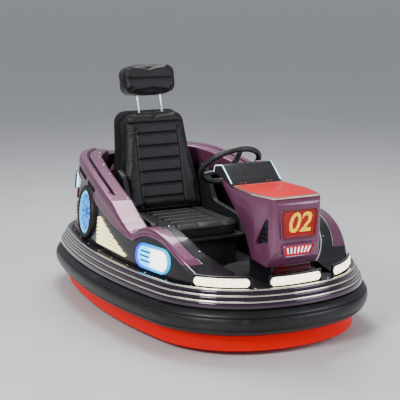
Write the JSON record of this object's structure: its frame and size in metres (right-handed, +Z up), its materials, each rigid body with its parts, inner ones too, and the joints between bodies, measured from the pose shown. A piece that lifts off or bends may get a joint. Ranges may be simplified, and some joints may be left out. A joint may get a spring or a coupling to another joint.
{
  "type": "bumper car",
  "caption": "Single-seat battery bumper car with a rubber ring, glow skirt, lit nose console, bucket seat and steered drive wheel.",
  "frame": {"origin": "centre of the bounding box, on the floor under the wheels", "axes": "+X forward, +Y to the driver's left, +Z up"},
  "size_m": [1.8488, 1.1786, 1.1017],
  "materials": {
    "steel_grey": "satin powder coat",
    "black_sheet": "satin black",
    "ring_rubber": "matt black rubber",
    "band_gloss": "dark glossy plum, mirror-like",
    "trim_bright": "bright warm metal strip",
    "glow_red": "lit red diffuser",
    "plum_paint": "metallic plum lacquer",
    "black_gloss": "black gloss",
    "black_matte": "grained black",
    "lamp_cool": "lit cool white diffuser",
    "lamp_warm": "lit warm white diffuser",
    "lamp_amber": "lit amber diffuser",
    "bezel_bright": "bright bezel",
    "hood_red": "gloss red lacquer",
    "display_red": "red dot display behind a clear cover",
    "display_tail": "lit tail display",
    "seat_leather": "black vinyl, fine grain",
    "tyre_black": "matt tyre",
    "machined": "machined steel",
    "motor_grey": "grey paint",
    "wheel_grip": "soft black grip"
  },
  "bodies": {
    "car": {"frame_hoop": "steel_grey", "frame_flanges": "steel_grey", "floor_rails": "steel_grey", "floor_pan": "black_sheet", "rear_axle": "steel_grey", "kingpin_bridge": "steel_grey", "bumper_rubber": "ring_rubber", "bumper_band": "band_gloss", "band_trim": "trim_bright", "underglow_skirt": "glow_red", "deck": "black_matte", "cockpit_tub": "black_sheet", "flank_left": "black_gloss", "flank_right": "black_gloss", "fairing_left": "plum_paint", "fairing_right": "plum_paint", "sill_trims": "plum_paint", "tail_panel": "black_gloss", "tail_display": "display_tail", "rear_cover": "plum_paint", "block_lamps": "lamp_cool", "marker_lamps": "lamp_amber", "pill_lamps": "lamp_cool", "oval_lamps": "lamp_warm", "lamp_bezels": "bezel_bright", "slat_panels": "lamp_warm", "wheel_lamps": "lamp_cool", "wheel_lamp_tyres": "black_matte", "light_bars": "lamp_warm", "nose_pillar": "black_gloss", "nose_intake": "display_red", "nose_cowl": "plum_paint", "nose_hood": "hood_red", "number_display": "display_red", "dashboard": "black_matte", "column_housing": "black_matte", "kingpin_cover": "black_matte", "foot_pedals": "machined", "seat_box": "black_sheet", "battery": "black_matte", "seat_shell": "black_matte", "seat_cushion": "seat_leather", "seat_back": "seat_leather", "headrest": "seat_leather", "headrest_posts": "machined"},
    "drive_fork": {"drive_fork": "steel_grey", "drive_motor": "motor_grey"},
    "drive_wheel": {"drive_tyre": "tyre_black", "drive_hub": "machined"},
    "rear_wheel_left": {"rear_tyre_left": "tyre_black", "rear_hub_left": "machined"},
    "rear_wheel_right": {"rear_tyre_right": "tyre_black", "rear_hub_right": "machined"},
    "steering": {"steering_wheel": "wheel_grip", "steering_shaft": "machined"}
  },
  "joints": [
    {"name": "fork_turn", "type": "hinge", "parent": "car", "child": "drive_fork", "pos_m": [0.56, 0, 0.25], "axis": [0, 0, 1], "range_deg": [-150, 150]},
    {"name": "drive_spin", "type": "hinge", "parent": "drive_fork", "child": "drive_wheel", "pos_m": [0.56, 0, 0.11], "axis": [0, 1, 0], "continuous": true},
    {"name": "left_spin", "type": "hinge", "parent": "car", "child": "rear_wheel_left", "pos_m": [-0.48, 0.372, 0.1], "axis": [0, 1, 0], "continuous": true},
    {"name": "right_spin", "type": "hinge", "parent": "car", "child": "rear_wheel_right", "pos_m": [-0.48, -0.372, 0.1], "axis": [0, 1, 0], "continuous": true},
    {"name": "steering_turn", "type": "hinge", "parent": "car", "child": "steering", "pos_m": [0.27, 0, 0.7], "axis": [-0.6428, 0, 0.766], "range_deg": [-150, 150]}
  ],
  "couplings": [
    {"joint": "steering_turn", "follows": "fork_turn", "ratio": 1}
  ]
}
